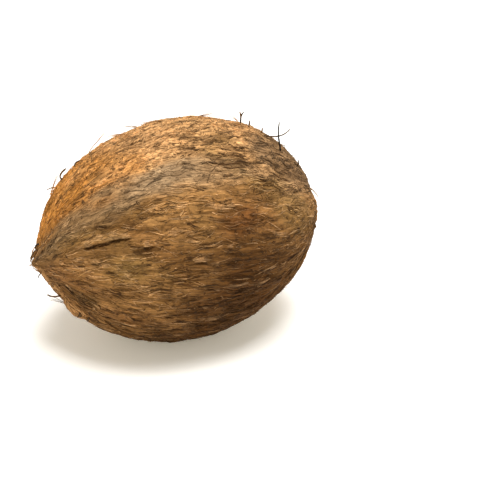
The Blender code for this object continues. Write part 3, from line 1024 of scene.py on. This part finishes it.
def drawn_out(tree, vector, scale):
    """A place in the grain, with its pattern drawn out along the nut."""
    node = tree.nodes.new("ShaderNodeVectorMath")
    node.operation = "MULTIPLY"
    tree.links.new(vector, node.inputs[0])
    node.inputs[1].default_value = scale
    return node.outputs[0]


def noise(tree, vector, scale, detail=4.0, roughness=0.6):
    node = tree.nodes.new("ShaderNodeTexNoise")
    tree.links.new(vector, node.inputs["Vector"])
    node.inputs["Scale"].default_value = scale
    node.inputs["Detail"].default_value = detail
    node.inputs["Roughness"].default_value = roughness
    return node.outputs["Fac"]


def ranged(tree, value, low, high, to_low, to_high):
    """A value carried from one range to another, and held at the ends."""
    node = tree.nodes.new("ShaderNodeMapRange")
    tree.links.new(value, node.inputs["Value"])
    node.inputs["From Min"].default_value = low
    node.inputs["From Max"].default_value = high
    node.inputs["To Min"].default_value = to_low
    node.inputs["To Max"].default_value = to_high
    return node.outputs["Result"]


def scaled(tree, colour, amount):
    """A colour made lighter or darker by an amount that varies over the surface."""
    node = tree.nodes.new("ShaderNodeVectorMath")
    node.operation = "SCALE"
    tree.links.new(colour, node.inputs[0])
    tree.links.new(amount, node.inputs["Scale"])
    return node.outputs[0]


def region_colour(tree):
    """The coir's colour in each region of the nut; its dark colour is partly painted shade."""
    colour = mixed(tree, named(tree, "bright"), MEDIUM, BRIGHT)
    colour = mixed(tree, named(tree, "orange"), colour, ORANGE)
    colour = mixed(tree, named(tree, "olive"), colour, OLIVE)
    colour = mixed(tree, named(tree, "red"), colour, RED)
    colour = mixed(tree, named(tree, "grey"), colour, GREY)
    return mixed(tree, named(tree, "dark"), colour, DARK_COIR_AND_SHADE)


def plain_material(name, roughness):
    material = bpy.data.materials.new(name)
    material.use_nodes = True
    shader = material.node_tree.nodes["Principled BSDF"]
    shader.inputs["Roughness"].default_value = roughness
    shader.inputs["Specular IOR Level"].default_value = 0.15
    return material, material.node_tree, shader


def coat_material():
    """Matted coir: streaks along the nut, with painted shade where it lies low in its hollows."""
    material, tree, shader = plain_material("coir_coat", 0.95)
    grain = named(tree, "grain", "Vector")
    streaks = noise(tree, drawn_out(tree, grain, (1.0, 1.0, 0.10)), 1.3, 6.0, 0.7)
    flecks = noise(tree, drawn_out(tree, grain, (1.0, 1.0, 0.35)), 1.0, 5.0, 0.7)
    colour = scaled(tree, region_colour(tree), ranged(tree, streaks, 0.32, 0.68, 0.40, 1.40))
    colour = scaled(tree, colour, ranged(tree, flecks, 0.30, 0.70, 0.65, 1.25))
    # Painted shade: the coat turns to the deep colour where it lies low, in its pits, grooves and hollows
    colour = mixed(tree, ranged(tree, named(tree, "height"), -0.5, 0.4, 0.90, 0.0), colour, DEEP_SHADE_AND_DARK_FIBRE)
    tree.links.new(colour, shader.inputs["Base Color"])
    bump = tree.nodes.new("ShaderNodeBump")
    bump.inputs["Strength"].default_value = 0.8
    bump.inputs["Distance"].default_value = 0.0006
    tree.links.new(streaks, bump.inputs["Height"])
    tree.links.new(bump.outputs[0], shader.inputs["Normal"])
    return material


def fibre_material():
    """Single coir fibres, each with a tone of its own, the lightest ones paler, with painted shade where they lie
    low.
    """
    material, tree, shader = plain_material("coir_fibre", 0.8)
    grain = named(tree, "grain", "Vector")
    streaks = noise(tree, drawn_out(tree, grain, (1.0, 1.0, 0.22)), 0.8, 2.0, 0.5)
    speckle = noise(tree, grain, 0.8, 3.0, 0.6)
    tone = named(tree, "tone")
    colour = scaled(tree, region_colour(tree), ranged(tree, tone, 0.0, 1.0, 0.40, 1.60))
    colour = mixed(tree, ranged(tree, tone, 0.55, 1.0, 0.0, 0.45), colour, PALE)
    # Fibres with a tone below 0 turn to the deep colour: dark locks and threads, and the painted shade of the cracks
    # and holes
    colour = mixed(tree, ranged(tree, tone, -1.0, 0.0, 0.85, 0.0), colour, DEEP_SHADE_AND_DARK_FIBRE)
    colour = scaled(tree, colour, ranged(tree, streaks, 0.35, 0.65, 0.60, 1.30))
    colour = scaled(tree, colour, ranged(tree, speckle, 0.3, 0.7, 0.65, 1.25))
    # Painted shade: fibres that lie low on the coat turn to the deep colour
    colour = mixed(tree, ranged(tree, named(tree, "height"), -0.5, 0.3, 0.80, 0.0), colour, DEEP_SHADE_AND_DARK_FIBRE)
    tree.links.new(colour, shader.inputs["Base Color"])
    return material


def hair_material():
    """Dark, dry hairs, uneven along their length."""
    material, tree, shader = plain_material("coir_hair", 0.7)
    mottle = noise(tree, named(tree, "grain", "Vector"), 0.6, 3.0, 0.6)
    colour = mixed(tree, ranged(tree, named(tree, "tone"), 0.0, 1.0, 0.0, 0.6), HAIR, MEDIUM)
    colour = scaled(tree, colour, ranged(tree, mottle, 0.3, 0.7, 0.7, 1.3))
    tree.links.new(colour, shader.inputs["Base Color"])
    return material


def floor_piece():
    mesh = bpy.data.meshes.new("floor")
    half = 3.0
    corners = [(-half, -half, 0.0), (half, -half, 0.0), (half, half, 0.0), (-half, half, 0.0)]
    mesh.from_pydata(corners, [], [(0, 1, 2, 3)])
    floor = bpy.data.objects.new("floor", mesh)
    floor.location.z = -0.0002
    bpy.context.scene.collection.objects.link(floor)
    material = bpy.data.materials.new("white_surface")
    material.use_nodes = True
    shader = material.node_tree.nodes["Principled BSDF"]
    shader.inputs["Base Color"].default_value = WHITE_SURFACE
    shader.inputs["Emission Color"].default_value = SURFACE_GLOW
    shader.inputs["Emission Strength"].default_value = 1.0
    shader.inputs["Roughness"].default_value = 0.7
    shader.inputs["Specular IOR Level"].default_value = 0.1
    mesh.materials.append(material)


def aimed(obj, target):
    obj.rotation_mode = "QUATERNION"
    obj.rotation_quaternion = (target - obj.location).to_track_quat("-Z", "Y")


def soft_light(name, place, size, power, colour):
    lamp = bpy.data.lights.new(name, "AREA")
    lamp.size = size
    lamp.energy = power
    lamp.color = colour
    light = bpy.data.objects.new(name, lamp)
    light.location = place
    aimed(light, Vector(MIDDLE))
    bpy.context.scene.collection.objects.link(light)


def light_scene():
    """A white room, brighter and warmer near the floor, with one soft lamp overhead."""
    world = bpy.data.worlds.new("white_room")
    world.use_nodes = True
    tree = world.node_tree
    direction = tree.nodes.new("ShaderNodeTexCoord").outputs["Generated"]
    parts = tree.nodes.new("ShaderNodeSeparateXYZ")
    tree.links.new(direction, parts.inputs[0])
    height = ranged(tree, parts.outputs["Z"], 0.0, 0.8, 0.0, 1.0)
    tree.links.new(mixed(tree, height, LOW_LIGHT, HIGH_LIGHT), tree.nodes["Background"].inputs[0])
    bpy.context.scene.world = world
    soft_light("overhead", Vector(LAMP_PLACE), LAMP_SIZE, LAMP_POWER, (1.0, 0.99, 0.98))


def place_camera():
    """The camera, aimed so that the nut falls at its own place in the picture."""
    azimuth, elevation = CAMERA_AZIMUTH, CAMERA_ELEVATION
    back = Vector(
        (
            math.sin(azimuth) * math.cos(elevation),
            -math.cos(azimuth) * math.cos(elevation),
            math.sin(elevation),
        )
    )
    right = Vector((math.cos(azimuth), math.sin(azimuth), 0.0))
    up = back.cross(right)
    half = PICTURE_SIZE / 2.0
    right_offset = (half - NUT_PIXEL[0]) * CAMERA_DISTANCE / FOCAL_PIXELS
    down_offset = (half - NUT_PIXEL[1]) * CAMERA_DISTANCE / FOCAL_PIXELS
    lens = bpy.data.cameras.new("camera")
    lens.sensor_width = SENSOR_WIDTH
    lens.lens = FOCAL_PIXELS / PICTURE_SIZE * SENSOR_WIDTH
    lens.clip_start = 0.01
    camera = bpy.data.objects.new("camera", lens)
    camera.location = Vector(MIDDLE) + back * CAMERA_DISTANCE
    aimed(camera, Vector(MIDDLE) + right * right_offset - up * down_offset)
    bpy.context.scene.collection.objects.link(camera)
    bpy.context.scene.camera = camera
    bpy.context.scene.view_settings.view_transform = "Standard"


def build():
    place_camera()
    light_scene()
    floor_piece()
    coat = coat_piece(coat_material())
    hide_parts("coconut")
    fibre = fibre_material()
    combed_fibres(fibre)
    chopped_fibres(fibre)
    dark_threads(fibre)
    crack_shade(fibre)
    flake_fibres(fibre)
    loose_wisps(fibre)
    hair = hair_material()
    stray_hairs(hair)
    fuzz(hair)


build()
